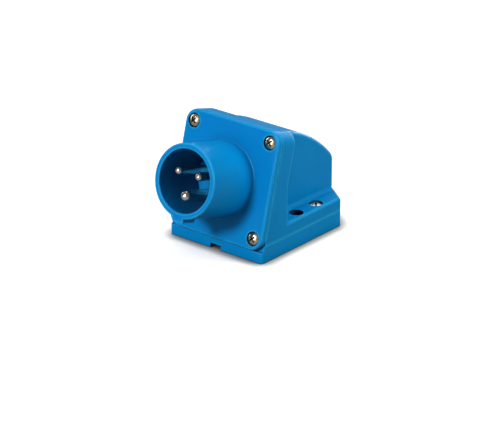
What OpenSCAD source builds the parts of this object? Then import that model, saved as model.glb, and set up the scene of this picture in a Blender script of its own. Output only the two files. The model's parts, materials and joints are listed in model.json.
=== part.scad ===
// Wall-mounted power inlet, 16 A, two poles and earth.
// Row frame: the wall plane is Z = 0, +Z leaves the wall, +Y runs to the cable entry,
// and the origin lies midway between the two wall-fixing holes.

/* [Base] */
// Width of the base, hood ledges and front plate
base_w = 70; // [66:0.5:80]
// Length of the base from its front face to its back face
base_len = 83.3; // [80:0.1:100]
// Length that each bevelled rear corner takes off the side
corner_len = 9.8; // [4:0.1:12]
// Height of the base up to the parting line
base_h = 9.9; // [8.5:0.1:11]
// Thickness of the base's outer wall
base_wall = 3.2; // [2.6:0.1:4]
// Thickness of the base's floor
floor_t = 2.5; // [2:0.1:3]
// Depth of the hollow under the floor
under_d = 3.5; // [3.2:0.1:4]
// Width of the drain notch in the front wall
notch_w = 8; // [4:0.5:14]
// Height of the drain notch above the wall plane
notch_h = 2.9; // [2:0.1:3.1]
// Radius of the base's upright front corners
base_corner_r = 1.5; // [0.5:0.1:3]
// Thickness of the seal between the base and the hood
seal_t = 1; // [0.6:0.1:1.6]
// Width of the seal between the base and the hood
seal_w = 1.4; // [1:0.1:1.6]
// Setback of the seal and the gasket from the outer faces
seal_inset = 1; // [0.8:0.1:1.2]
// Width of the joint lines between the base, the hood and the front plate
joint_gap = 0.15; // [0.05:0.01:0.3]

/* [Wall fixing] */
// Distance of the wells in the ledges from the sides
well_side = 6.1; // [5.9:0.1:6.6]
// Distance from the base's front face to the wall-fixing holes
fix_from_front = 39.2; // [36:0.1:42]
// Diameter of the wall-fixing holes in the base
fix_d = 5.2; // [4.2:0.1:6]
// Height of the seats for the wall screws' heads
fix_seat_z = 4.5; // [4:0.1:6]
// Diameter of the screw wells in the ledges
well_d = 8.8; // [8.2:0.1:9.2]
// Thickness of the tube around a well
well_wall = 1.5; // [1.2:0.1:1.6]

/* [Hood] */
// Wall thickness of the hood
hood_wall = 2.8; // [2.2:0.1:3.2]
// Height of the ledges above the wall plane
ledge_top = 18; // [16.5:0.1:22]
// Rounding of the ledges' upper edge
ledge_round = 1.6; // [0.6:0.1:2.4]
// Radius of the fillet where the body meets the ledges
foot_fillet = 3; // [1:0.1:4]
// Width of the body between the ledges
body_w = 44; // [42:0.5:45]
// Radius of the roof's long curve
roof_r = 90; // [84:0.5:96]
// Drop of the roof below the flange's upper rear edge
roof_drop = 2.8; // [0.5:0.1:4]
// Height where the upright back wall ends and the roof begins
back_h = 36; // [33:0.1:40]
// Radius where the roof turns down into the back wall
roof_end_r = 8; // [5:0.1:12]
// Rounding of the body's long edges
body_round = 2.5; // [1:0.1:3]
// Depth of the flange behind the front plate's face
flange_d = 16.7; // [15.5:0.1:19]
// Distance of the flange's upright foot behind the base's front face
foot_back = 24.4; // [23.5:0.1:26]
// Chamfer along the flange's front edge
flange_break = 0.4; // [0.2:0.1:0.8]
// Rounding of the flange's rear edges
flange_round = 1.8; // [0.6:0.1:2.4]
// Distance from the wall-fixing holes back to the hood screws
hood_screw_pitch = 18.4; // [14:0.1:20]
// Height of the hood screws' seats
hood_seat_z = 15.2; // [12.6:0.1:15.5]
// Height of the hood's cable entry
entry_z = 23.5; // [23.2:0.1:24]
// Diameter of the cable entry
entry_d = 20; // [16:0.5:20]

/* [Front plate] */
// Height of the front plate
plate_h = 71; // [68:0.5:76]
// Thickness of the front plate
plate_t = 4; // [3.5:0.1:5]
// Radius of the front plate's corners
plate_corner_r = 8; // [5:0.1:10]
// Rounding of the front plate's face edge
plate_edge_r = 1.1; // [0.4:0.1:1.6]
// Backward lean of the front plate
tilt = 15.5; // [12:0.5:18]
// Height of the front plate's lower edge
plate_foot_z = 7.6; // [7:0.1:9]
// How far the front plate's lower edge stands out from the base
plate_proud = 2.25; // [1:0.05:3]
// Thickness of the gasket behind the front plate
gasket_t = 1; // [0.6:0.1:1.4]
// Wall thickness around the inserts behind the plate
boss_wall = 1.9; // [1.4:0.1:2.2]
// Distance of the plate screws from the sides
screw_side = 6.5; // [6:0.1:7.5]
// Distance of the plate screws from the upper and lower edges
screw_edge = 7.1; // [6.5:0.1:8]
// Width of the rim that the gasket lies on
rim_w = 4; // [3.4:0.1:4.5]
// Height of the hood's bar below the front opening
sill_h = 9.5; // [9:0.1:11]

/* [Collar] */
// Outer diameter of the collar at its mouth
collar_od = 44; // [42:0.1:46]
// Inner diameter of the collar
collar_bore_d = 37.4; // [35:0.1:38]
// Length of the collar in front of the plate
collar_len = 35.7; // [30:0.1:42]
// Growth of the collar's outer radius from mouth to foot
collar_draft = 0.4; // [0:0.05:0.8]
// Rounding of the collar's mouth
mouth_round = 0.7; // [0.3:0.1:1.2]
// Radius of the fillet at the collar's foot
collar_fillet = 0.9; // [0.5:0.1:3]
// Width of the key under the collar
key_w = 8; // [5:0.1:10]
// Height of the key
key_h = 2; // [1.5:0.1:4]
// Length of the key, back from the mouth
key_len = 10.6; // [6:0.1:20]

/* [Contacts] */
// Diameter of the circle through the contact pins
pin_circle = 17.6; // [16:0.1:19]
// Diameter of the line and neutral pins
pin_d = 5; // [4:0.1:5.5]
// Diameter of the earth pin
earth_d = 7; // [6:0.1:7.5]
// Growth of a pin's diameter inside the carrier
pin_root = 1; // [0.4:0.1:1.6]
// Distance of the pin tips behind the collar's mouth
pin_recess = 1.2; // [0.5:0.1:6]
// How far the contact carrier's face stands in front of the plate's face
carrier_rise = 0.5; // [0:0.1:2]
// Diameter of the contact carrier's flange
carrier_d = 43; // [41:0.5:44]
// Height of the screw bosses behind the front plate
boss_h = 2; // [1.5:0.1:2.4]
// Distance of the carrier screws from the collar's axis
carrier_screw_x = 25.5; // [25.2:0.1:26.5]
// Radius of the carrier's ears
ear_r = 3.5; // [3:0.1:3.6]
// Thickness of the carrier's ears
ear_t = 2.5; // [2:0.1:2.6]
// Thickness of the retainer behind the carrier
retainer_t = 2.5; // [2:0.1:2.6]
// Height of the barriers between the terminals
barrier_h = 14; // [8:0.5:16]
// Thickness of the barriers between the terminals
barrier_t = 1.6; // [1:0.1:2]
// Diameter of the pins' shoulders
shoulder_d = 9.8; // [8.8:0.1:10.4]
// Thickness of the pins' shoulders
shoulder_t = 1.5; // [1:0.1:1.8]
// Diameter of the terminal barrels
barrel_d = 8; // [7:0.1:8.4]
// Length of the terminal barrels behind the carrier
barrel_len = 15.5; // [14:0.1:18]
// Diameter of the conductor bore in a barrel
wire_d = 4.4; // [3:0.1:4.8]
// Depth of the conductor bore in a barrel
wire_depth = 11; // [9:0.1:12]
// Distance of the clamp screws from the barrels' ends
clamp_inset = 4.5; // [3:0.1:6]

/* [Screws] */
// Diameter of the plate and hood screws' shanks
screw_d = 4; // [3:0.1:4.4]
// Diameter of the plate and hood screws' heads
head_d = 8; // [7:0.1:8.2]
// Height of the plate and hood screws' heads
head_h = 2.4; // [2:0.1:2.8]
// Depth of the head recesses in the front plate
head_sink = 1.5; // [0.5:0.1:2]
// Length of the plate screws' shanks
plate_screw_len = 10; // [9:0.5:11]
// Length of the hood screws' shanks
hood_screw_len = 11.6; // [8:0.1:11.9]
// Diameter of the carrier screws' shanks
carrier_screw_d = 3; // [2:0.1:3.2]
// Diameter of the carrier screws' heads
carrier_head_d = 5.6; // [5:0.1:6]
// Height of the carrier screws' heads
carrier_head_h = 1.7; // [1.2:0.1:1.8]
// Length of the carrier screws' shanks
carrier_screw_len = 8.5; // [7:0.1:9]
// Diameter of the clamp screws
clamp_d = 3.5; // [2.5:0.1:3.6]
// Width of the slots in the clamp screws
clamp_slot = 0.8; // [0.5:0.1:1]
// How far the clamp screws stand out of the barrels
clamp_out = 1.5; // [1:0.1:2]
// Length of the clamp screws
clamp_len = 5.5; // [4.5:0.1:6]
// Width of the cross recesses in the plate and hood screws
cross_w = 1.1; // [0.6:0.1:1.2]
// Width of the cross recesses in the carrier screws
carrier_cross_w = 0.7; // [0.5:0.1:1]
// Wall thickness of the brass inserts
insert_wall = 0.8; // [0.6:0.1:0.9]
// Length of the inserts that hold the upper plate screws
plate_insert_len = 8; // [6:0.1:9]
// Length of the inserts that hold the lower plate screws
post_insert_len = 6; // [5:0.1:7]
// Length of the inserts that hold the hood screws
base_insert_len = 6; // [5:0.1:6.4]
// Length of the inserts that hold the carrier screws
carrier_insert_len = 4.2; // [3.6:0.1:4.4]
// Clear width around shanks, heads, pins and barrels
fit_gap = 0.1; // [0.05:0.01:0.2]

/* [Cable grommet] */
// Diameter of the grommet's outer lip
grommet_lip_d = 25; // [23:0.1:26]
// Thickness of the grommet's lips
grommet_lip_t = 2; // [1.5:0.1:2.5]
// Diameter of the grommet's inner lip
grommet_inner_d = 22.4; // [21:0.1:22.8]
// Length of the grommet's nose outside the lip
grommet_nose = 3; // [1:0.1:5]
// Diameter of the grommet's cable bore
cable_d = 9.5; // [6:0.1:11]

/* [Hidden] */
$fn = 72;
// Segments of the curves inside a rounded shell
soft_fn = 24;
// Overlap that keeps cuts and joined solids free of zero-thickness skins
over = 0.5;
// Thickness of the layers that shape a rounded edge
skin = 0.02;
// Steps of a rounded edge
edge_steps = 3;

blue = [0.0, 0.44, 0.74];
dark = [0.12, 0.12, 0.13];
metal = [0.80, 0.79, 0.75];
yellow = [0.78, 0.62, 0.30];

front_y = -fix_from_front;
back_y = front_y + base_len;
side_end_y = back_y - corner_len;
hood_z = base_h + joint_gap;
foot_back_y = front_y + foot_back;
body_half = body_w / 2;
half_w = base_w / 2;

plate_cy = front_y - plate_proud + plate_h / 2 * sin(tilt);
plate_cz = plate_foot_z + plate_h / 2 * cos(tilt);
// Depth of the hood's front face behind the plate's face
hood_n = plate_t + joint_gap;
// Depth of the gasket groove's floor behind the plate's face
groove_n = plate_t + gasket_t;
// Where the hood's sloping front face crosses the parting line
front_seam_y = plate_cy + hood_n / cos(tilt) + (hood_z - plate_cz) * tan(tilt);

screw_x = half_w - screw_side;
screw_v = plate_h / 2 - screw_edge;
hood_screw_y = hood_screw_pitch;
fix_x = half_w - well_side;
well_r = well_d / 2;
tube_r = well_r + well_wall;
shank_r = screw_d / 2;
hole_r = shank_r + fit_gap / 2;
insert_r = hole_r + insert_wall;
boss_r = insert_r + boss_wall;
// Depth of the hood's inner front face, which the base's two screw posts stand behind
post_n = groove_n + hood_wall;
carrier_hole_r = carrier_screw_d / 2 + fit_gap / 2;
carrier_insert_r = carrier_hole_r + insert_wall;

// Point where the roof leaves the flange, and centre of the turn into the back wall
roof_y0 = plate_cy + plate_h / 2 * sin(tilt) + flange_d * cos(tilt);
roof_z0 = plate_cz + plate_h / 2 * cos(tilt) - flange_d * sin(tilt) - roof_drop;
roof_end_y = back_y - roof_end_r;
roof_end_z = back_h;
// The long curve's centre lies where its two reaches cross, below the roof
roof_dy = roof_end_y - roof_y0;
roof_dz = roof_end_z - roof_z0;
roof_span = sqrt(roof_dy * roof_dy + roof_dz * roof_dz);
roof_along = (roof_r * roof_r - pow(roof_r - roof_end_r, 2) + roof_span * roof_span) / (2 * roof_span);
roof_off = sqrt(roof_r * roof_r - roof_along * roof_along);
roof_cy = roof_y0 + (roof_along * roof_dy + roof_off * roof_dz) / roof_span;
roof_cz = roof_z0 + (roof_along * roof_dz - roof_off * roof_dy) / roof_span;
// The roof's curve starts inside the flange, this far back at the flange's top
roof_start_y = plate_cy + plate_h / 2 * sin(tilt) + (flange_d - 1.5 * body_round) * cos(tilt);
roof_end_a = asin((roof_end_y - roof_cy) / (roof_r - roof_end_r));

collar_r = collar_od / 2;
foot_r = collar_r + collar_draft;
bore_r = collar_bore_d / 2;
carrier_face_n = carrier_rise;
ear_n = -plate_t - boss_h;
carrier_back_n = ear_n - ear_t;
retainer_back_n = carrier_back_n - retainer_t;
barrel_end_n = carrier_back_n - barrel_len;
pin_tip_n = collar_len - pin_recess;
pin_angles = [150, 30, 270];

// Places its children in the front plate's frame: x across, y up the plate, z out of its face.
module on_plate() {
  translate([0, plate_cy, plate_cz]) rotate([90 - tilt, 0, 0]) children();
}

// Places its children on one contact's axis, in the front plate's frame.
module on_pin(angle) {
  on_plate() rotate([0, 0, angle]) translate([pin_circle / 2, 0, 0]) children();
}

module rounded_rect(w, h, r) {
  square([w - 2 * r, h], center = true);
  square([w, h - 2 * r], center = true);
  for (x = [-1, 1], y = [-1, 1])
    translate([x * (w / 2 - r), y * (h / 2 - r)]) circle(r);
}

// The front plate's outline, set back by inset.
module plate_outline(inset = 0) {
  rounded_rect(base_w - 2 * inset, plate_h - 2 * inset, plate_corner_r - inset);
}

// Half of the base's outline as points, from the front centre round to the back centre.
function base_half(inset, front) = let(
    dx = half_w - body_half,
    bevel = sqrt(dx * dx + corner_len * corner_len),
    side_cut = inset * (bevel - dx) / corner_len,
    back_cut = inset * (bevel - corner_len) / dx
  ) [
    [half_w - inset, front + inset],
    [half_w - inset, side_end_y - side_cut],
    [body_half - back_cut, back_y - inset]
  ];

// The base's outline with bevelled rear corners, set back by inset from its front line.
module base_outline(inset = 0, front = front_y) {
  right = base_half(inset, front);
  left = [for (i = [len(right) - 1 : -1 : 0]) [-right[i][0], right[i][1]]];
  polygon(concat(right, left));
}

// Room of the front plate, grown by gap, that the base and the hood keep free.
module plate_room(gap) {
  on_plate()
    translate([-base_w, -plate_h / 2 - gap, -hood_n])
      cube([2 * base_w, 2 * plate_h, plate_h]);
}

// Groove for the plate's gasket in the faces behind the plate.
module gasket_groove() {
  on_plate() translate([0, 0, -groove_n]) linear_extrude(gasket_t) plate_outline(seal_inset - fit_gap / 2);
}

// A screw with a domed cross-recess head; its seat is at z = 0 and its shank runs down -z.
module pan_screw(d, len, hd, hh, recess) {
  dome_r = (pow(hd / 2, 2) + hh * hh) / (2 * hh) + hh / 2;
  difference() {
    union() {
      intersection() {
        cylinder(d = hd, h = hh);
        translate([0, 0, hh - dome_r]) sphere(dome_r);
      }
      translate([0, 0, -len]) cylinder(d = d, h = len + over);
    }
    for (a = [45, 135])
      rotate([0, 0, a]) translate([-hd * 0.29, -recess / 2, hh * 0.42]) cube([hd * 0.58, recess, hh]);
  }
}

// A post behind each lower plate screw; its side stays clear of the hood's wall.
module base_posts() {
  depth = post_insert_len + base_wall;
  w = half_w - hood_wall - fit_gap;
  intersection() {
    union() {
      on_plate() for (x = [-screw_x, screw_x])
        translate([x, -screw_v, -post_n - fit_gap - depth]) cylinder(r = boss_r, h = depth);
      on_plate() for (x = [-screw_x, screw_x])
        translate([x - boss_r, -screw_v - 3 * boss_r, -post_n - fit_gap - depth])
          cube([2 * boss_r, 3 * boss_r, depth]);
    }
    translate([-w, front_y, under_d]) cube([2 * w, base_len, plate_h]);
  }
}

module base() {
  color(blue) difference() {
    union() {
      base_posts();
      difference() {
        linear_extrude(base_h) base_outline();
        translate([0, 0, under_d + floor_t]) linear_extrude(base_h) base_outline(base_wall);
        translate([0, 0, -over]) linear_extrude(under_d + over) base_outline(base_wall);
      }
      for (x = [-fix_x, fix_x]) {
        translate([x, 0, 0]) cylinder(r = tube_r, h = base_h);
        translate([x, hood_screw_y, 0]) cylinder(r = tube_r, h = base_h);
      }
      translate([-half_w + base_wall / 2, front_y + base_wall / 2, under_d])
        cube([base_w - base_wall, front_seam_y - front_y + base_wall, base_h - under_d]);
    }
    plate_room(joint_gap);
    gasket_groove();
    translate([0, 0, hood_z - seal_t]) linear_extrude(seal_t + over) seal_ring(fit_gap / 2);
    on_plate() for (x = [-screw_x, screw_x]) translate([x, -screw_v, 0]) {
      translate([0, 0, -plate_t - plate_screw_len]) cylinder(r = hole_r, h = plate_screw_len);
      translate([0, 0, -post_n - fit_gap - post_insert_len])
        cylinder(r = insert_r, h = post_insert_len + over);
    }
    for (x = [-fix_x, fix_x]) {
      translate([x, 0, -over]) cylinder(d = fix_d, h = base_h + 2 * over);
      translate([x, 0, fix_seat_z]) cylinder(r = well_r, h = base_h);
      translate([x, hood_screw_y, hood_seat_z - hood_screw_len - fit_gap])
        cylinder(r = hole_r, h = base_h);
      translate([x, hood_screw_y, base_h - base_insert_len]) cylinder(r = insert_r, h = base_h);
    }
    translate([-notch_w / 2, front_y - over, -over])
      cube([notch_w, base_wall + 2 * over, notch_h + over]);
    for (x = [-1, 1]) translate([x * half_w, front_y, 0]) upright_round(base_corner_r, x);
  }
}

// Cutter that rounds an upright corner whose edge is at the origin; side is -1 or 1.
module upright_round(r, side) {
  translate([0, 0, -over]) linear_extrude(base_h + 2 * over) difference() {
    translate([side > 0 ? -r : -over, -over]) square(r + over);
    translate([-side * r, r]) circle(r);
  }
}

// The seal's ring between the base and the hood, grown by gap on both sides.
module seal_ring(gap = 0) {
  difference() {
    base_outline(seal_inset - gap, front_seam_y);
    base_outline(seal_inset + seal_w + gap, front_seam_y);
    for (x = [-fix_x, fix_x], y = [0, hood_screw_y]) translate([x, y]) circle(well_r + fit_gap - gap);
  }
}

module base_seal() {
  color(dark) translate([0, 0, hood_z - seal_t]) linear_extrude(seal_t) seal_ring();
}

// The hood's flange behind the plate: the plate's outline with softened front and rear edges.
module flange_form() {
  on_plate() hull() {
    translate([0, 0, -hood_n - skin]) linear_extrude(skin) plate_outline(flange_break, $fn = soft_fn);
    translate([0, 0, -flange_d + flange_round])
      linear_extrude(flange_d - flange_round - hood_n - flange_break) plate_outline($fn = soft_fn);
    for (i = [1 : edge_steps]) let(a = 90 * i / edge_steps)
      translate([0, 0, -flange_d + flange_round * (1 - sin(a))])
        linear_extrude(skin) plate_outline(flange_round * (1 - cos(a)), $fn = soft_fn);
  }
}

// The wedge that carries the flange down to the parting line, with an upright rear face.
module wedge_form() {
  top = plate_cz;
  r = flange_round;
  hull() {
    for (x = [-1, 1])
      translate([x * (half_w - r), foot_back_y - r, hood_z]) cylinder(r = r, h = top - hood_z, $fn = soft_fn);
    translate([-half_w, front_seam_y + skin, hood_z]) cube([base_w, skin, skin]);
    translate([-half_w, front_seam_y + skin + (top - hood_z) * tan(tilt), top - skin])
      cube([base_w, skin, skin]);
  }
}

// The ledges: the base's outline with a rounded upper edge.
module ledge_form() {
  front = (front_seam_y + foot_back_y) / 2;
  straight = ledge_top - ledge_round - hood_z;
  translate([0, 0, hood_z]) hull() {
    linear_extrude(straight) base_outline(0, front);
    for (i = [1 : edge_steps]) let(a = 90 * i / edge_steps)
      translate([0, 0, straight + ledge_round * sin(a) - skin])
        linear_extrude(skin) base_outline(ledge_round * (1 - cos(a)), front);
  }
}

// Centre of a point on the roof's section, set back by inset: the long curve, then the turn into the back.
function roof_point(a, inset) = a < roof_end_a
  ? [roof_cy + (roof_r - inset) * sin(a), roof_cz + (roof_r - inset) * cos(a)]
  : [roof_end_y + (roof_end_r - inset) * sin(a), roof_end_z + (roof_end_r - inset) * cos(a)];

// Angles along the roof's section, from the flange to the upright back wall.
function roof_angles() = let(start = asin((roof_start_y - roof_cy) / roof_r)) concat(
    [for (i = [0 : 9]) start + (roof_end_a - start) * i / 10],
    [for (i = [0 : 5]) roof_end_a + (90 - roof_end_a) * i / 5]
  );

// The body under the curved roof, with softened edges.
module body_form() {
  r = body_round;
  hull() for (x = [-1, 1]) {
    for (a = roof_angles()) let(p = roof_point(a, r))
      translate([x * (body_half - r), p[0], p[1]]) sphere(r, $fn = soft_fn);
    translate([x * (body_half - r), back_y - r, hood_z]) cylinder(r = r, h = over, $fn = soft_fn);
    translate([x * (body_half - r), foot_back_y - 2 * r, hood_z]) cylinder(r = r, h = over, $fn = soft_fn);
  }
}

// Fillets along the body's feet, inside the ledges' outline.
module foot_fillets() {
  r = foot_fillet;
  intersection() {
    for (x = [-1, 1])
      translate([x * body_half, back_y, ledge_top]) rotate([90, 0, 0])
        linear_extrude(back_y - foot_back_y + over) difference() {
          translate([x > 0 ? -over : -r, -over]) square(r + over);
          translate([x * r, r]) circle(r);
        }
    translate([0, 0, ledge_top - ledge_round]) linear_extrude(r + ledge_round) base_outline(ledge_round);
  }
}

// The body's inside, open towards the flange and the base.
module body_hollow() {
  w = body_half - hood_wall;
  roof = [for (a = roof_angles()) roof_point(a, hood_wall)];
  translate([-w, 0, 0]) rotate([90, 0, 90]) linear_extrude(2 * w)
    polygon(concat([[back_y - hood_wall, hood_z - over], [foot_back_y - 3 * hood_wall, hood_z - over]],
      [[roof[0][0] - 2.5 * hood_wall, roof[0][1]]], roof));
}

// The flange's inside behind the front opening, with its four screw bosses left standing.
module flange_hollow() {
  inner = base_w - 2 * rim_w;
  depth = flange_d - hood_wall - hood_n;
  low = -plate_h / 2 + sill_h;
  high = plate_h / 2 - rim_w;
  difference() {
    on_plate() translate([-inner / 2, low, -hood_n - depth]) cube([inner, high - low, depth + over]);
    on_plate() for (x = [-screw_x, screw_x])
      translate([x, screw_v, -flange_d]) cylinder(r = boss_r, h = flange_d);
  }
}

// The wedge's inside, down to the parting line.
module wedge_hollow() {
  w = half_w - hood_wall;
  low_y = plate_cy + post_n / cos(tilt) + (hood_z - plate_cz) * tan(tilt);
  top = plate_cz - hood_wall;
  translate([-w, 0, 0]) rotate([90, 0, 90]) linear_extrude(2 * w) polygon([
    [low_y - over * tan(tilt), hood_z - over],
    [foot_back_y - hood_wall, hood_z - over],
    [foot_back_y - hood_wall, top],
    [low_y + (top - hood_z) * tan(tilt), top]
  ]);
}

// The ledges' inside, with the tubes of the screw wells left standing.
module ledge_hollow() {
  difference() {
    translate([0, 0, hood_z - over]) linear_extrude(ledge_top - hood_wall - hood_z + over)
      base_outline(base_wall, foot_back_y - hood_wall - base_wall);
    for (x = [-fix_x, fix_x], y = [0, hood_screw_y])
      translate([x, y, hood_z - over]) cylinder(r = tube_r, h = ledge_top);
  }
}

module hood() {
  color(blue) difference() {
    union() {
      difference() {
        flange_form();
        translate([-base_w, front_y - base_w, -base_w]) cube([2 * base_w, 3 * base_w, hood_z + base_w]);
      }
      wedge_form();
      ledge_form();
      body_form();
      foot_fillets();
    }
    gasket_groove();
    body_hollow();
    flange_hollow();
    wedge_hollow();
    ledge_hollow();
    on_plate() for (x = [-screw_x, screw_x], v = [-screw_v, screw_v])
      translate([x, v, 0]) {
        translate([0, 0, -plate_t - plate_screw_len]) cylinder(r = hole_r, h = plate_screw_len);
        if (v > 0) translate([0, 0, -groove_n - plate_insert_len])
          cylinder(r = insert_r, h = plate_insert_len + over);
      }
    for (x = [-fix_x, fix_x]) {
      translate([x, 0, hood_z - over]) cylinder(r = well_r, h = ledge_top);
      translate([x, hood_screw_y, hood_seat_z]) cylinder(r = well_r, h = ledge_top);
      translate([x, hood_screw_y, hood_z - over]) cylinder(r = hole_r, h = ledge_top);
    }
    translate([0, back_y + over, entry_z]) rotate([90, 0, 0]) cylinder(d = entry_d, h = hood_wall + 2 * over);
  }
}

module hood_screws() {
  color(metal) for (x = [-fix_x, fix_x])
    translate([x, hood_screw_y, hood_seat_z]) pan_screw(screw_d, hood_screw_len, head_d, head_h, cross_w);
}

// A threaded bush, shown as a plain tube that stands up from z = 0.
module insert(outer, inner, len) {
  linear_extrude(len) difference() {
    circle(outer);
    circle(inner);
  }
}

module base_inserts() {
  color(yellow) for (x = [-fix_x, fix_x])
    translate([x, hood_screw_y, base_h - base_insert_len]) insert(insert_r, hole_r, base_insert_len);
}

module plate_inserts() {
  color(yellow) on_plate() for (x = [-screw_x, screw_x]) {
    translate([x, screw_v, -groove_n - plate_insert_len]) insert(insert_r, hole_r, plate_insert_len);
    translate([x, -screw_v, -post_n - fit_gap - post_insert_len]) insert(insert_r, hole_r, post_insert_len);
  }
}

module carrier_inserts() {
  color(yellow) on_plate() for (x = [-carrier_screw_x, carrier_screw_x])
    translate([x, 0, ear_n]) insert(carrier_insert_r, carrier_hole_r, carrier_insert_len);
}

module plate_gasket() {
  inner = base_w - 2 * rim_w;
  low = -plate_h / 2 + sill_h;
  high = plate_h / 2 - rim_w;
  color(dark) on_plate() translate([0, 0, -groove_n]) linear_extrude(gasket_t) difference() {
    plate_outline(seal_inset);
    difference() {
      translate([-inner / 2, low]) square([inner, high - low]);
      for (x = [-screw_x, screw_x]) translate([x, screw_v]) circle(boss_r);
    }
    for (x = [-screw_x, screw_x], v = [-screw_v, screw_v]) translate([x, v]) circle(hole_r + fit_gap);
  }
}

// The plate itself, with a rounded face edge.
module plate_form() {
  translate([0, 0, -plate_t]) hull() {
    linear_extrude(plate_t - plate_edge_r) plate_outline($fn = 48);
    for (i = [1 : edge_steps]) let(a = 90 * i / edge_steps)
      translate([0, 0, plate_t - plate_edge_r * (1 - sin(a)) - skin])
        linear_extrude(skin) plate_outline(plate_edge_r * (1 - cos(a)), $fn = 48);
  }
}

// Half section of the collar: foot fillet, drafted wall and rounded mouth.
module collar_section() {
  r = mouth_round;
  straight = collar_len - r;
  polygon([
    [bore_r, -plate_t], [foot_r, -plate_t], [foot_r, collar_fillet], [collar_r, straight], [bore_r, straight]
  ]);
  translate([bore_r + r, straight - over]) square([collar_r - bore_r - 2 * r, r + over]);
  translate([bore_r + r, straight]) circle(r);
  translate([collar_r - r, straight]) circle(r);
  translate([foot_r, 0]) difference() {
    translate([-over, -over]) square(collar_fillet + over);
    translate([collar_fillet, collar_fillet]) circle(collar_fillet);
  }
}

module front_plate() {
  color(blue) on_plate() difference() {
    union() {
      difference() {
        plate_form();
        translate([0, 0, -plate_t - over]) cylinder(r = (bore_r + foot_r) / 2, h = plate_t + 2 * over);
      }
      rotate_extrude() collar_section();
      difference() {
        translate([-key_w / 2, -collar_r - key_h, collar_len - key_len])
          cube([key_w, key_h + collar_r - bore_r, key_len]);
        cylinder(r = (bore_r + collar_r) / 2, h = collar_len + over);
      }
      for (x = [-carrier_screw_x, carrier_screw_x])
        translate([x, 0, ear_n]) cylinder(r = ear_r, h = boss_h + over);
    }
    for (x = [-screw_x, screw_x], v = [-screw_v, screw_v]) translate([x, v, 0]) {
      translate([0, 0, -head_sink]) cylinder(d = head_d + 8 * fit_gap, h = head_sink + over);
      translate([0, 0, -plate_t - over]) cylinder(r = hole_r + fit_gap, h = plate_t + over);
    }
    for (x = [-carrier_screw_x, carrier_screw_x])
      translate([x, 0, ear_n - over]) cylinder(r = carrier_insert_r, h = carrier_insert_len + over);
  }
}

module plate_screws() {
  color(metal) on_plate() for (x = [-screw_x, screw_x], v = [-screw_v, screw_v])
    translate([x, v, -head_sink])
      pan_screw(screw_d, plate_screw_len - head_sink + plate_t - fit_gap, head_d, head_h, cross_w);
}

// Two rounded ears that carry the carrier and its retainer on the plate's bosses.
module ears(t) {
  translate([-carrier_screw_x, -ear_r, 0]) cube([2 * carrier_screw_x, 2 * ear_r, t]);
  for (x = [-carrier_screw_x, carrier_screw_x]) translate([x, 0, 0]) cylinder(r = ear_r, h = t);
}

module contact_carrier() {
  color(blue) difference() {
    on_plate() {
      translate([0, 0, -plate_t - over]) cylinder(r = bore_r - fit_gap, h = plate_t + carrier_face_n + over);
      translate([0, 0, carrier_back_n]) cylinder(d = carrier_d, h = boss_h + ear_t);
      translate([0, 0, carrier_back_n]) ears(ear_t);
    }
    for (i = [0 : 2]) on_pin(pin_angles[i]) {
      translate([0, 0, carrier_back_n - over])
        cylinder(d = pin_size(i) + pin_root + fit_gap, h = carrier_face_n - carrier_back_n + 2 * over);
      translate([0, 0, carrier_back_n - over])
        cylinder(d = shoulder_d + 2 * fit_gap, h = shoulder_t + over);
    }
    on_plate() ear_holes();
  }
}

// Clear holes for the carrier screws through both pairs of ears.
module ear_holes() {
  for (x = [-carrier_screw_x, carrier_screw_x])
    translate([x, 0, retainer_back_n - over])
      cylinder(d = carrier_screw_d + 2 * fit_gap, h = ear_t + retainer_t + 2 * over);
}

// Diameter of contact i: line, neutral, then earth.
function pin_size(i) = i == 2 ? earth_d : pin_d;

module contact_retainer() {
  color(blue) difference() {
    on_plate() {
      translate([0, 0, retainer_back_n]) cylinder(d = carrier_d, h = retainer_t);
      translate([0, 0, retainer_back_n]) ears(retainer_t);
      for (a = pin_angles) rotate([0, 0, a + 60])
        translate([0, -barrier_t / 2, retainer_back_n - barrier_h])
          cube([carrier_d / 2 - 2 * barrier_t, barrier_t, barrier_h + over]);
    }
    for (a = pin_angles) on_pin(a)
      translate([0, 0, retainer_back_n - over])
        cylinder(d = barrel_d + 2 * fit_gap, h = retainer_t + 2 * over);
    on_plate() ear_holes();
  }
}

module carrier_screws() {
  color(metal) on_plate() for (x = [-carrier_screw_x, carrier_screw_x])
    translate([x, 0, retainer_back_n]) rotate([180, 0, 0])
      pan_screw(carrier_screw_d, carrier_screw_len, carrier_head_d, carrier_head_h, carrier_cross_w);
}

// Contact i: domed pin, shoulder that the retainer holds, and a barrel terminal.
module contact(i) {
  r = pin_size(i) / 2;
  clamp_n = barrel_end_n + clamp_inset;
  color(metal) on_pin(pin_angles[i]) difference() {
    union() {
      translate([0, 0, carrier_back_n]) cylinder(r = r, h = pin_tip_n - r - carrier_back_n);
      translate([0, 0, carrier_back_n]) cylinder(r = r + pin_root / 2, h = carrier_face_n - carrier_back_n);
      translate([0, 0, pin_tip_n - r]) sphere(r);
      translate([0, 0, carrier_back_n]) cylinder(d = shoulder_d, h = shoulder_t);
      translate([0, 0, barrel_end_n]) cylinder(d = barrel_d, h = barrel_len + shoulder_t / 2);
    }
    translate([0, 0, barrel_end_n - over]) cylinder(d = wire_d, h = wire_depth + over);
    translate([0, 0, clamp_n]) rotate([0, 90, 0]) cylinder(d = clamp_d + fit_gap, h = barrel_d);
  }
}

// Slotted clamp screw of contact i, facing away from the collar's axis.
module clamp_screw(i) {
  color(metal) on_pin(pin_angles[i])
    translate([barrel_d / 2 + clamp_out - clamp_len, 0, barrel_end_n + clamp_inset]) rotate([0, 90, 0])
      difference() {
        cylinder(d = clamp_d, h = clamp_len);
        translate([-clamp_d, -clamp_slot / 2, clamp_len - clamp_slot])
          cube([2 * clamp_d, clamp_slot, clamp_d]);
      }
}

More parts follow.
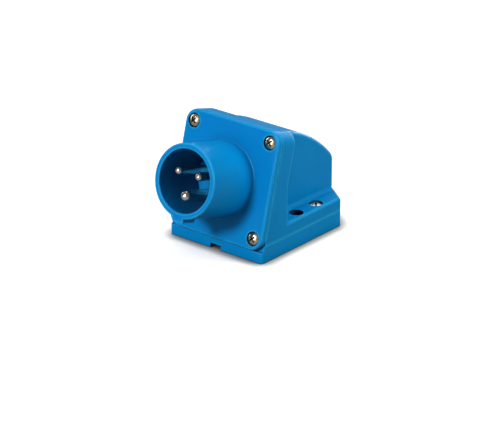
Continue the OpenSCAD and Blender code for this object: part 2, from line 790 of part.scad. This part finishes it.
module line_pin() { contact(0); }
module neutral_pin() { contact(1); }
module earth_pin() { contact(2); }
module line_clamp_screw() { clamp_screw(0); }
module neutral_clamp_screw() { clamp_screw(1); }
module earth_clamp_screw() { clamp_screw(2); }

module cable_grommet() {
  neck = entry_d / 2 - fit_gap / 2;
  bore = cable_d / 2;
  lip = grommet_lip_t;
  color(dark) translate([0, back_y, entry_z]) rotate([-90, 0, 0]) rotate_extrude() polygon([
    [bore, -hood_wall - lip],
    [grommet_inner_d / 2 - lip / 2, -hood_wall - lip],
    [grommet_inner_d / 2, -hood_wall - lip / 2],
    [grommet_inner_d / 2, -hood_wall],
    [neck, -hood_wall],
    [neck, 0],
    [grommet_lip_d / 2, 0],
    [grommet_lip_d / 2 - lip / 4, lip],
    [bore + 2 * lip, lip],
    [bore + lip, lip + grommet_nose],
    [bore, lip + grommet_nose]
  ]);
}

base();
base_seal();
base_inserts();
hood();
hood_screws();
plate_inserts();
plate_gasket();
front_plate();
plate_screws();
carrier_inserts();
contact_carrier();
contact_retainer();
carrier_screws();
line_pin();
neutral_pin();
earth_pin();
line_clamp_screw();
neutral_clamp_screw();
earth_clamp_screw();
cable_grommet();
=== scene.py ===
"""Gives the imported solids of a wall-mounted power inlet their finishes, stage, camera and lamps."""
import json
import math

import bpy
from mathutils import Matrix, Vector

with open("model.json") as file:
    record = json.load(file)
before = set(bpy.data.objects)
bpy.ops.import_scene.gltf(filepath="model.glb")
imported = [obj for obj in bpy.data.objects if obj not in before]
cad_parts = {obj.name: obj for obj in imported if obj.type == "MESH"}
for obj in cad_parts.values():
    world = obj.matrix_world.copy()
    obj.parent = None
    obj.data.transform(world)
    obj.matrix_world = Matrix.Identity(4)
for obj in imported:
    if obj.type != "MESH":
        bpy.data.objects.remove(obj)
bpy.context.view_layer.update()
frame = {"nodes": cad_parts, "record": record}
scene = bpy.context.scene
nodes = frame["nodes"]

MM = 0.001
# Lean of the front plate, and the direction that its face looks
TILT = math.radians(15.5)
PLATE_AXIS = Vector((0.0, -math.cos(TILT), math.sin(TILT)))


# Shader helpers

# Rays that each shading point spends on edges, on corners and on the floor's contact shadow
EDGE_RAYS = 6
CORNER_RAYS = 8
FLOOR_RAYS = 16


class Tree:
    """A shader node tree, with short calls for the nodes that several materials use."""

    def __init__(self, tree):
        self.tree = tree
        tree.nodes.clear()

    def feed(self, socket, value):
        """Links a socket to another node's output, or sets it to a plain value."""
        if isinstance(value, bpy.types.NodeSocket):
            self.tree.links.new(value, socket)
        elif socket.type == "RGBA":
            socket.default_value = (*value, 1)
        else:
            socket.default_value = value

    def add(self, kind, **inputs):
        """Adds a node and feeds its inputs by name, with underscores for spaces."""
        n = self.tree.nodes.new("ShaderNode" + kind)
        for name, value in inputs.items():
            self.feed(n.inputs[name.replace("_", " ")], value)
        return n

    def math(self, operation, a, b):
        n = self.add("Math")
        n.operation = operation
        self.feed(n.inputs[0], a)
        self.feed(n.inputs[1], b)
        return n.outputs["Value"]

    def vector_math(self, operation, *vectors):
        n = self.add("VectorMath")
        n.operation = operation
        for socket, v in zip(n.inputs, vectors):
            self.feed(socket, v)
        return n.outputs["Value"]

    def span(self, value, lo, hi, start=0.0, end=1.0):
        """Maps the range from start to end onto the range from lo to hi."""
        n = self.add("MapRange", Value=value, From_Min=start, From_Max=end, To_Min=lo, To_Max=hi)
        return n.outputs["Result"]

    def openness(self, distance, rays):
        """Share of the sky that a point sees past whatever stands within the distance."""
        n = self.add("AmbientOcclusion", Distance=distance)
        n.samples = rays
        return n.outputs["AO"]


class Shader(Tree):
    """A material with a Principled shader, whose textures follow the part's own coordinates."""

    def __init__(self, name):
        self.mat = bpy.data.materials.new(name)
        self.mat.use_nodes = True
        super().__init__(self.mat.node_tree)
        self.bsdf = self.add("BsdfPrincipled")
        self.add("OutputMaterial", Surface=self.bsdf.outputs["BSDF"])
        self.coord = self.add("TexCoord").outputs["Object"]

    def mapping(self, scale=(1, 1, 1), rotation=(0, 0, 0)):
        return self.add("Mapping", Vector=self.coord, Scale=scale, Rotation=rotation).outputs["Vector"]

    def noise(self, scale, detail=2.0, rough=0.5, vector=None, distortion=0.0):
        n = self.add("TexNoise", Scale=scale, Detail=detail, Roughness=rough, Distortion=distortion)
        self.feed(n.inputs["Vector"], vector or self.coord)
        return n.outputs["Fac"]

    def ramp(self, value, *stops):
        n = self.add("ValToRGB", Fac=value)
        for element, (position, colour) in zip(n.color_ramp.elements, stops):
            element.position = position
            element.color = (*colour, 1)
        return n.outputs["Color"]

    def mix(self, share, a, b):
        """Colour a with the share of colour b laid over it."""
        n = self.add("Mix")
        n.data_type = "RGBA"
        for socket, value in ((n.inputs[0], share), (n.inputs[6], a), (n.inputs[7], b)):
            self.feed(socket, value)
        return n.outputs[2]

    def bump(self, height, strength, distance, below=None):
        n = self.add("Bump", Height=height, Strength=strength, Distance=distance)
        if below is not None:
            self.feed(n.inputs["Normal"], below)
        return n.outputs["Normal"]

    def edges(self, radius, flat, full):
        """Mask of edges: how far a normal softened over the radius leaves the surface's own."""
        soft = self.add("Bevel", Radius=radius)
        soft.samples = EDGE_RAYS
        own = self.add("NewGeometry")
        agreement = self.vector_math("DOT_PRODUCT", soft.outputs["Normal"], own.outputs["Normal"])
        return self.span(agreement, 0.0, 1.0, flat, full)

    def set(self, **values):
        for name, value in values.items():
            self.feed(self.bsdf.inputs[name.replace("_", " ")], value)


# Materials: colours are linear, texture scales are per metre, reaches and bump heights in metres

# Tints laid over the plastic: dust, a painted highlight on edges, and painted shade in creases, corners
# and deep hollows; and how much of the first two shows at most
DUST = (0.42, 0.56, 0.68)
EDGE_HIGHLIGHT_TINT = (0.020, 0.370, 0.720)
CREASE_SHADE_TINT = (0.002, 0.030, 0.085)
CORNER_SHADE_TINT = (0.004, 0.012, 0.030)
DEEP_SHADE_TINT = (0.012, 0.018, 0.030)
DUST_SHARE = 0.015
EDGE_HIGHLIGHT_SHARE = 0.85
# How far the painted edge highlight, the painted shade in creases, the painted shade in corners and the
# painted shade in deep hollows reach
EDGE_REACH = 0.0016
CREASE_SHADE_REACH = 0.0012
CORNER_REACH = 0.009
HOLLOW_REACH = 0.030
# Agreement of a softened normal with the surface's own on a flat and on a full edge
EDGE_FLAT = 0.9995
EDGE_FULL = 0.97
PLASTIC_SPECULAR = 0.10
RUBBER_SPECULAR = 0.35


def moulded_plastic(name, light, deep, rough, grain, scuff, corner_shade_share=0.85, deep_shade_share=0.0):
    """Moulded plastic: flow mottling, fine grain, dust, a painted highlight on edges, painted shade in
    creases, corners and deep hollows, and soft sinks.
    """
    s = Shader(name)
    flow = s.noise(38, detail=3, rough=0.55, vector=s.mapping(scale=(1, 1.6, 1)), distortion=0.4)
    colour = s.ramp(flow, (0.30, deep), (0.70, light))

    dust = s.span(s.noise(520, detail=4, rough=0.62), 0.0, 1.0, 0.60, 0.78)
    colour = s.mix(s.math("MULTIPLY", dust, DUST_SHARE), colour, DUST)

    sky = s.openness(CORNER_REACH, CORNER_RAYS)
    # Painted highlight: convex edges that see open sky get a lighter blue, standing in for light
    # catching the edges.
    outer = s.span(sky, 0.0, 1.0, 0.72, 0.92)
    edge_highlight = s.math("MULTIPLY", s.edges(EDGE_REACH, EDGE_FLAT, EDGE_FULL), outer)
    colour = s.mix(s.math("MULTIPLY", edge_highlight, EDGE_HIGHLIGHT_SHARE), colour, EDGE_HIGHLIGHT_TINT)

    # Painted shade: narrow creases and seams that see little sky turn dark blue.
    crease_shade = s.span(s.openness(CREASE_SHADE_REACH, CORNER_RAYS), 0.0, 0.6, 0.92, 0.50)
    colour = s.mix(crease_shade, colour, CREASE_SHADE_TINT)
    # Painted shade: corners and recesses that see little sky turn darker, up to the corner shade share.
    corner_shade = s.span(sky, 0.0, 1.0, 0.78, 0.25)
    colour = s.mix(s.math("MULTIPLY", corner_shade, corner_shade_share), colour, CORNER_SHADE_TINT)
    # Painted shade: deep hollows such as the collar's mouth turn near black.
    if deep_shade_share:
        deep_shade = s.span(s.openness(HOLLOW_REACH, CORNER_RAYS), 0.0, deep_shade_share, 0.55, 0.25)
        colour = s.mix(deep_shade, colour, DEEP_SHADE_TINT)

    strokes = s.mapping(scale=(1, 5, 2), rotation=(0.3, 0.2, 0.9))
    rub = s.span(s.noise(150, detail=5, rough=0.7, vector=strokes, distortion=0.6), 0.0, 1.0, 0.56, 0.74)
    roughness = s.span(s.noise(900), rough - 0.04, rough + 0.05)
    roughness = s.math("ADD", roughness, s.math("MULTIPLY", rub, scuff))
    sink = s.bump(s.noise(26, detail=1, rough=0.4), strength=0.10, distance=0.0006)
    fine = s.bump(s.noise(4200, rough=0.55), strength=grain, distance=0.00006, below=sink)
    s.set(Base_Color=colour, Roughness=roughness, Normal=fine, Specular_IOR_Level=PLASTIC_SPECULAR)
    return s.mat


def plated_metal(name, light, deep, rough, turn=(0, 0, 0), metallic=1.0):
    """Plating over turned metal: cloudy tarnish, fine tool rings round the turned axis, small pits."""
    s = Shader(name)
    colour = s.ramp(s.noise(420, detail=4, rough=0.6, distortion=0.5), (0.32, deep), (0.68, light))
    roughness = s.span(s.noise(1600, detail=3), rough - 0.05, rough + 0.08)
    wave = s.add("TexWave", Vector=s.mapping(rotation=turn), Scale=1600, Distortion=1.2, Detail=2)
    wave.bands_direction = "Z"
    rings = s.bump(wave.outputs["Fac"], strength=0.10, distance=0.00002)
    pits = s.bump(s.noise(2600, detail=3, rough=0.6), strength=0.12, distance=0.00003, below=rings)
    s.set(Base_Color=colour, Metallic=metallic, Roughness=roughness, Normal=pits)
    return s.mat


def rubber(name, light, deep):
    """Matt sealing rubber with a dusty bloom and a pebbled skin."""
    s = Shader(name)
    colour = s.ramp(s.noise(160, detail=4, rough=0.6), (0.35, deep), (0.72, light))
    roughness = s.span(s.noise(700, detail=3), 0.62, 0.82)
    pebbles = s.add("TexVoronoi", Vector=s.coord, Scale=2600).outputs["Distance"]
    skin = s.bump(pebbles, strength=0.14, distance=0.00005)
    s.set(Base_Color=colour, Roughness=roughness, Normal=skin, Specular_IOR_Level=RUBBER_SPECULAR)
    return s.mat


BLUE_BODY = moulded_plastic(
    "blue_body", (0.0, 0.212, 0.540), (0.0, 0.194, 0.505), rough=0.34, grain=0.03, scuff=0.10
)
BLUE_BASE = moulded_plastic(
    "blue_base", (0.0, 0.228, 0.585), (0.0, 0.210, 0.545), rough=0.34, grain=0.03, scuff=0.10, corner_shade_share=0.15
)
BLUE_FRONT = moulded_plastic(
    "blue_front", (0.0, 0.212, 0.560), (0.0, 0.196, 0.525), rough=0.30, grain=0.02, scuff=0.08,
    corner_shade_share=0.40, deep_shade_share=0.68,
)
# Painted shade: a dark blue for the walls of the wall-fixing wells, standing in for the shade inside
# them.
BLUE_WELL_SHADE = moulded_plastic(
    "blue_well_shade", (0.002, 0.050, 0.145), (0.001, 0.038, 0.112), rough=0.50, grain=0.03, scuff=0.06
)
BLUE_INSERT = moulded_plastic(
    "blue_insert", (0.0, 0.205, 0.530), (0.0, 0.188, 0.495), rough=0.48, grain=0.04, scuff=0.06, corner_shade_share=0.2
)
CONTACT = plated_metal(
    "contact_metal", (0.83, 0.80, 0.74), (0.70, 0.66, 0.58), rough=0.18, turn=(math.pi / 2 - TILT, 0, 0)
)
SCREW = plated_metal("screw_steel", (0.78, 0.70, 0.52), (0.60, 0.51, 0.34), rough=0.24)
SATIN = plated_metal("satin_zinc", (0.97, 0.98, 0.92), (0.88, 0.89, 0.82), rough=0.42, metallic=0.15)
# Painted shade: a near-black metal for the screws' cross recesses.
RECESS_SHADE = plated_metal("screw_recess_shade", (0.055, 0.046, 0.034), (0.030, 0.025, 0.018), rough=0.45)
BRASS = plated_metal("insert_brass", (0.72, 0.52, 0.22), (0.58, 0.39, 0.14), rough=0.30)
SEAL = rubber("seal_rubber", (0.034, 0.034, 0.036), (0.016, 0.016, 0.017))
GROMMET = rubber("grommet_rubber", (0.040, 0.040, 0.043), (0.019, 0.019, 0.021))

# Finishes by the record's material slots, and those of nodes that differ from their slot
FINISH = {
    "blue_body": BLUE_BODY,
    "blue_front": BLUE_FRONT,
    "blue_insert": BLUE_INSERT,
    "contact_metal": CONTACT,
    "screw_steel": SCREW,
    "insert_brass": BRASS,
    "seal_rubber": SEAL,
    "grommet_rubber": GROMMET,
}
OWN_FINISH = {"hood_screws": SATIN, "base": BLUE_BASE}
for part in frame["record"]["subparts"]:
    me = nodes[part["node"]].data
    me.materials.clear()
    me.materials.append(OWN_FINISH.get(part["node"], FINISH[part["material_slot"]]))


# Painted shade: darker faces in the wells and in the screws' recesses

# Distances in metres: radius of a well with some room, least space between two screws, reach of a
# recess from its screw's axis, and depths below the screw's top of the recess floor and the dome's rim
WELL_REACH = 0.0047
SCREW_APART = 0.012
RECESS_REACH = 0.0026
RECESS_FLOOR = 0.0016
DOME_DROP = 0.0008
# Largest share of a wall's normal along the axis of its hole
STEEP = 0.5


def clusters(points, apart):
    """Groups points that lie within a distance of a group's first point."""
    groups = []
    for p in points:
        home = next((g for g in groups if (p - g[0]).length < apart), None)
        if home is None:
            groups.append([p])
        else:
            home.append(p)
    return groups


def middle(points):
    """Centre of the box round some points."""
    lo = Vector([min(p[i] for p in points) for i in range(3)])
    hi = Vector([max(p[i] for p in points) for i in range(3)])
    return (lo + hi) / 2


def darken_recesses(name, axis):
    """Gives the faces of the cross recesses in a node's screw heads a near-black metal, painted shade in
    the recesses.
    """
    me = nodes[name].data
    me.materials.append(RECESS_SHADE)
    flat = [f.center - axis * f.center.dot(axis) for f in me.polygons]
    centres = [middle(g) for g in clusters(flat, SCREW_APART)]
    top = max(v.co.dot(axis) for v in me.vertices)
    for f, p in zip(me.polygons, flat):
        near = min((p - c).length for c in centres) < RECESS_REACH
        depth = top - f.center.dot(axis)
        if near and depth < RECESS_FLOOR and (f.normal.dot(axis) < STEEP or depth > DOME_DROP):
            f.material_index = 1


def darken_wells(name):
    """Gives a node's faces inside the two wall-fixing wells a dark blue, painted shade in the holes."""
    me = nodes[name].data
    me.materials.append(BLUE_WELL_SHADE)
    holes = next(m for m in frame["record"]["mounts"] if m["name"] == "wall_holes")
    well_x = holes["dims"]["spacing_x_mm"] * MM / 2
    for f in me.polygons:
        corners = [me.vertices[i].co for i in f.vertices]
        reach = max(math.hypot(abs(p.x) - well_x, p.y) for p in corners)
        if reach < WELL_REACH and abs(f.normal.z) < STEEP:
            f.material_index = 1


darken_recesses("hood_screws", Vector((0, 0, 1)))
darken_recesses("plate_screws", PLATE_AXIS)
darken_wells("hood")
darken_wells("base")


# Softened edges and smooth curves

# Angles in degrees: faces that turn by less than the first become one, and an edge that turns by more
# than the second is sharp
FLAT_UNDER = 0.6
SHARP_OVER = 38
# Distances in metres within which points merge, before the edges are softened and after
SPLIT_GAP = 2e-6
SLIVER_GAP = 1e-6
# Widths of the softened edges in metres: zero where a bevel would collapse or cross its neighbours
EDGE = {
    "base": 0.0, "hood": 0.0, "contact_retainer": 0.0, "base_seal": 0.0, "plate_gasket": 0.0,
    "front_plate": 0.00040, "cable_grommet": 0.00040, "plate_screws": 0.00016, "hood_screws": 0.00016,
    "contact_carrier": 0.00012, "line_pin": 0.00015, "neutral_pin": 0.00015, "earth_pin": 0.00015,
}
SMALL_EDGE = 0.0001


def smooth_group(limit):
    """Geometry nodes that shade a mesh smooth and keep edges sharper than the limit crisp."""
    g = bpy.data.node_groups.new("smooth_under_%d" % limit, "GeometryNodeTree")
    g.interface.new_socket("Geometry", in_out="INPUT", socket_type="NodeSocketGeometry")
    g.interface.new_socket("Geometry", in_out="OUTPUT", socket_type="NodeSocketGeometry")
    start = g.nodes.new("NodeGroupInput")
    end = g.nodes.new("NodeGroupOutput")
    face = g.nodes.new("GeometryNodeSetShadeSmooth")
    face.domain = "FACE"
    face.inputs["Shade Smooth"].default_value = True
    edge = g.nodes.new("GeometryNodeSetShadeSmooth")
    edge.domain = "EDGE"
    edge.inputs["Shade Smooth"].default_value = False
    angle = g.nodes.new("GeometryNodeInputMeshEdgeAngle")
    test = g.nodes.new("FunctionNodeCompare")
    test.data_type = "FLOAT"
    test.operation = "GREATER_THAN"
    test.inputs[1].default_value = math.radians(limit)
    g.links.new(start.outputs[0], face.inputs["Geometry"])
    g.links.new(face.outputs["Geometry"], edge.inputs["Geometry"])
    g.links.new(angle.outputs["Unsigned Angle"], test.inputs[0])
    g.links.new(test.outputs["Result"], edge.inputs["Selection"])
    g.links.new(edge.outputs["Geometry"], end.inputs[0])
    return g


SMOOTH = smooth_group(SHARP_OVER)


def dress(name, width, segments):
    """Joins a CAD node's split faces, softens its edges by width and shades its curves smooth."""
    o = nodes[name]
    me = o.data
    if me.has_custom_normals:
        bpy.context.view_layer.objects.active = o
        o.select_set(True)
        bpy.ops.mesh.customdata_custom_splitnormals_clear()
        o.select_set(False)
    me.polygons.foreach_set("use_smooth", [True] * len(me.polygons))
    weld = o.modifiers.new("weld", "WELD")
    weld.merge_threshold = SPLIT_GAP
    flat = o.modifiers.new("flat", "DECIMATE")
    flat.decimate_type = "DISSOLVE"
    flat.angle_limit = math.radians(FLAT_UNDER)
    if width:
        bevel = o.modifiers.new("soft_edges", "BEVEL")
        bevel.width = width
        bevel.segments = segments
        bevel.limit_method = "ANGLE"
        bevel.angle_limit = math.radians(SHARP_OVER)
        bevel.miter_outer = "MITER_ARC"
        bevel.use_clamp_overlap = True
        closed = o.modifiers.new("closed", "WELD")
        closed.merge_threshold = SLIVER_GAP
    smooth = o.modifiers.new("smooth", "NODES")
    smooth.node_group = SMOOTH
    weight = o.modifiers.new("weight", "WEIGHTED_NORMAL")
    weight.keep_sharp = True


for name in nodes:
    dress(name, EDGE.get(name, SMALL_EDGE), segments=2 if "screw" in name or "insert" in name else 3)


# Stage: a white floor and background for the camera, with the part's shadow kept on the floor

# Half the floor's width and its depth below the wall face in metres
FLOOR_HALF = 3.0
FLOOR_DROP = 0.0003
# Share of the white stage that reflections see
GLOSS_SHARE = 0.12
# The floor's colour to the part and to the camera, and its own glow for the camera near the part
FLOOR_BOUNCE = 0.16
FLOOR_WHITE = 0.80
FLOOR_GLOW = 0.32
# Distances in metres between which the floor turns to the background's white
HAZE_FROM_TO = (0.12, 0.45)
# Width in metres and strength of the contact shadow
CONTACT_REACH = 0.0085
CONTACT_DEPTH = 2.0
# Strength of the world's light on the part
AMBIENT = 0.028


def seen(t):
    """Share of the white stage that a ray sees: all for the camera, some for reflections."""
    path = t.add("LightPath").outputs
    mirrored = t.math("MAXIMUM", path["Is Glossy Ray"], path["Is Transmission Ray"])
    return t.math("MAXIMUM", path["Is Camera Ray"], t.math("MULTIPLY", mirrored, GLOSS_SHARE))


def floor_material():
    """A pale floor that darkens under the part and turns white away from it."""
    m = bpy.data.materials.new("floor")
    m.use_nodes = True
    t = Tree(m.node_tree)
    share = seen(t)
    contact = t.math("POWER", t.openness(CONTACT_REACH, FLOOR_RAYS), CONTACT_DEPTH)
    white = t.math("MULTIPLY", t.span(share, FLOOR_BOUNCE, FLOOR_WHITE), contact)
    away = t.vector_math("LENGTH", t.add("TexCoord").outputs["Object"])
    haze = t.span(away, FLOOR_GLOW, 1.0, *HAZE_FROM_TO)
    shine = t.math("MULTIPLY", t.math("MULTIPLY", share, haze), contact)
    both = t.add("AddShader")
    t.feed(both.inputs[0], t.add("BsdfDiffuse", Color=white).outputs["BSDF"])
    t.feed(both.inputs[1], t.add("Emission", Strength=shine).outputs["Emission"])
    t.add("OutputMaterial", Surface=both.outputs["Shader"])
    return m


def floor():
    me = bpy.data.meshes.new("floor")
    r = FLOOR_HALF
    z = -FLOOR_DROP
    me.from_pydata([(-r, -r, z), (r, -r, z), (r, r, z), (-r, r, z)], [], [(0, 1, 2, 3)])
    me.materials.append(floor_material())
    o = bpy.data.objects.new("floor", me)
    scene.collection.objects.link(o)


def background():
    """A world that is white to the camera and dim to the part."""
    world = bpy.data.worlds.new("studio")
    scene.world = world
    world.use_nodes = True
    t = Tree(world.node_tree)
    sky = t.add("Background", Color=(1, 1, 1), Strength=t.span(seen(t), AMBIENT, 1.0))
    t.add("OutputWorld", Surface=sky.outputs["Background"])


floor()
background()


# Camera at the photograph's angle

AZIMUTH = math.radians(39.775)
ELEVATION = math.radians(23.293)
# Focal length and picture width in pixels of the photograph, and the sensor's width in millimetres
FOCAL_PIXELS = 2631.0
PICTURE_PIXELS = 500
SENSOR = 36
# A point inside the part, and the camera's moves from it along its own axes in metres
TARGET = Vector((0.0, -0.0092, 0.038))
MOVE_RIGHT = 0.000986
MOVE_UP = -0.022308
MOVE_BACK = 1.5442


def camera():
    data = bpy.data.cameras.new("camera")
    data.sensor_fit = "HORIZONTAL"
    data.sensor_width = SENSOR
    data.lens = FOCAL_PIXELS * SENSOR / PICTURE_PIXELS
    data.clip_start = 0.05
    data.clip_end = 20
    o = bpy.data.objects.new("camera", data)
    scene.collection.objects.link(o)
    level = math.cos(ELEVATION)
    right = Vector((math.cos(AZIMUTH), math.sin(AZIMUTH), 0))
    back = Vector((math.sin(AZIMUTH) * level, -math.cos(AZIMUTH) * level, math.sin(ELEVATION)))
    up = back.cross(right)
    place = TARGET + right * MOVE_RIGHT + up * MOVE_UP + back * MOVE_BACK
    turn = Matrix((right, up, back)).transposed()
    o.matrix_world = Matrix.Translation(place) @ turn.to_4x4()
    scene.camera = o


camera()


# Lamps

LAMP_AIM = Vector((0, -0.01, 0.035))
WARM_TOP = (1.0, 0.99, 0.88)
WARM_SIDE = (1.0, 1.0, 0.90)


def lamp(name, direction, distance, size, power, colour=(1, 1, 1)):
    """A soft rectangular lamp that shines on the part from a direction, in metres and watts."""
    data = bpy.data.lights.new(name, "AREA")
    data.shape = "RECTANGLE"
    data.size, data.size_y = size
    data.energy = power
    data.color = colour
    o = bpy.data.objects.new(name, data)
    scene.collection.objects.link(o)
    d = Vector(direction).normalized()
    o.location = LAMP_AIM + d * distance
    o.rotation_mode = "QUATERNION"
    o.rotation_quaternion = d.to_track_quat("Z", "Y")


lamp("key", (-0.03, -0.87, 0.47), distance=0.9, size=(0.15, 0.15), power=6.0)
lamp("front_fill", (-0.10, -1.0, 0.10), distance=0.9, size=(0.6, 0.15), power=1.0)
lamp("top", (-0.10, 0.30, 1.0), distance=0.8, size=(0.4, 0.4), power=3.4, colour=WARM_TOP)
lamp("side", (1.0, 0.30, 0.58), distance=0.42, size=(0.22, 0.22), power=1.41, colour=WARM_SIDE)
lamp("left_fill", (-1.0, 0.15, 0.25), distance=0.9, size=(0.5, 0.5), power=3.6)
lamp("back_fill", (-0.15, 1.0, 0.08), distance=0.9, size=(0.5, 0.4), power=4.2)

scene.view_settings.view_transform = "Standard"
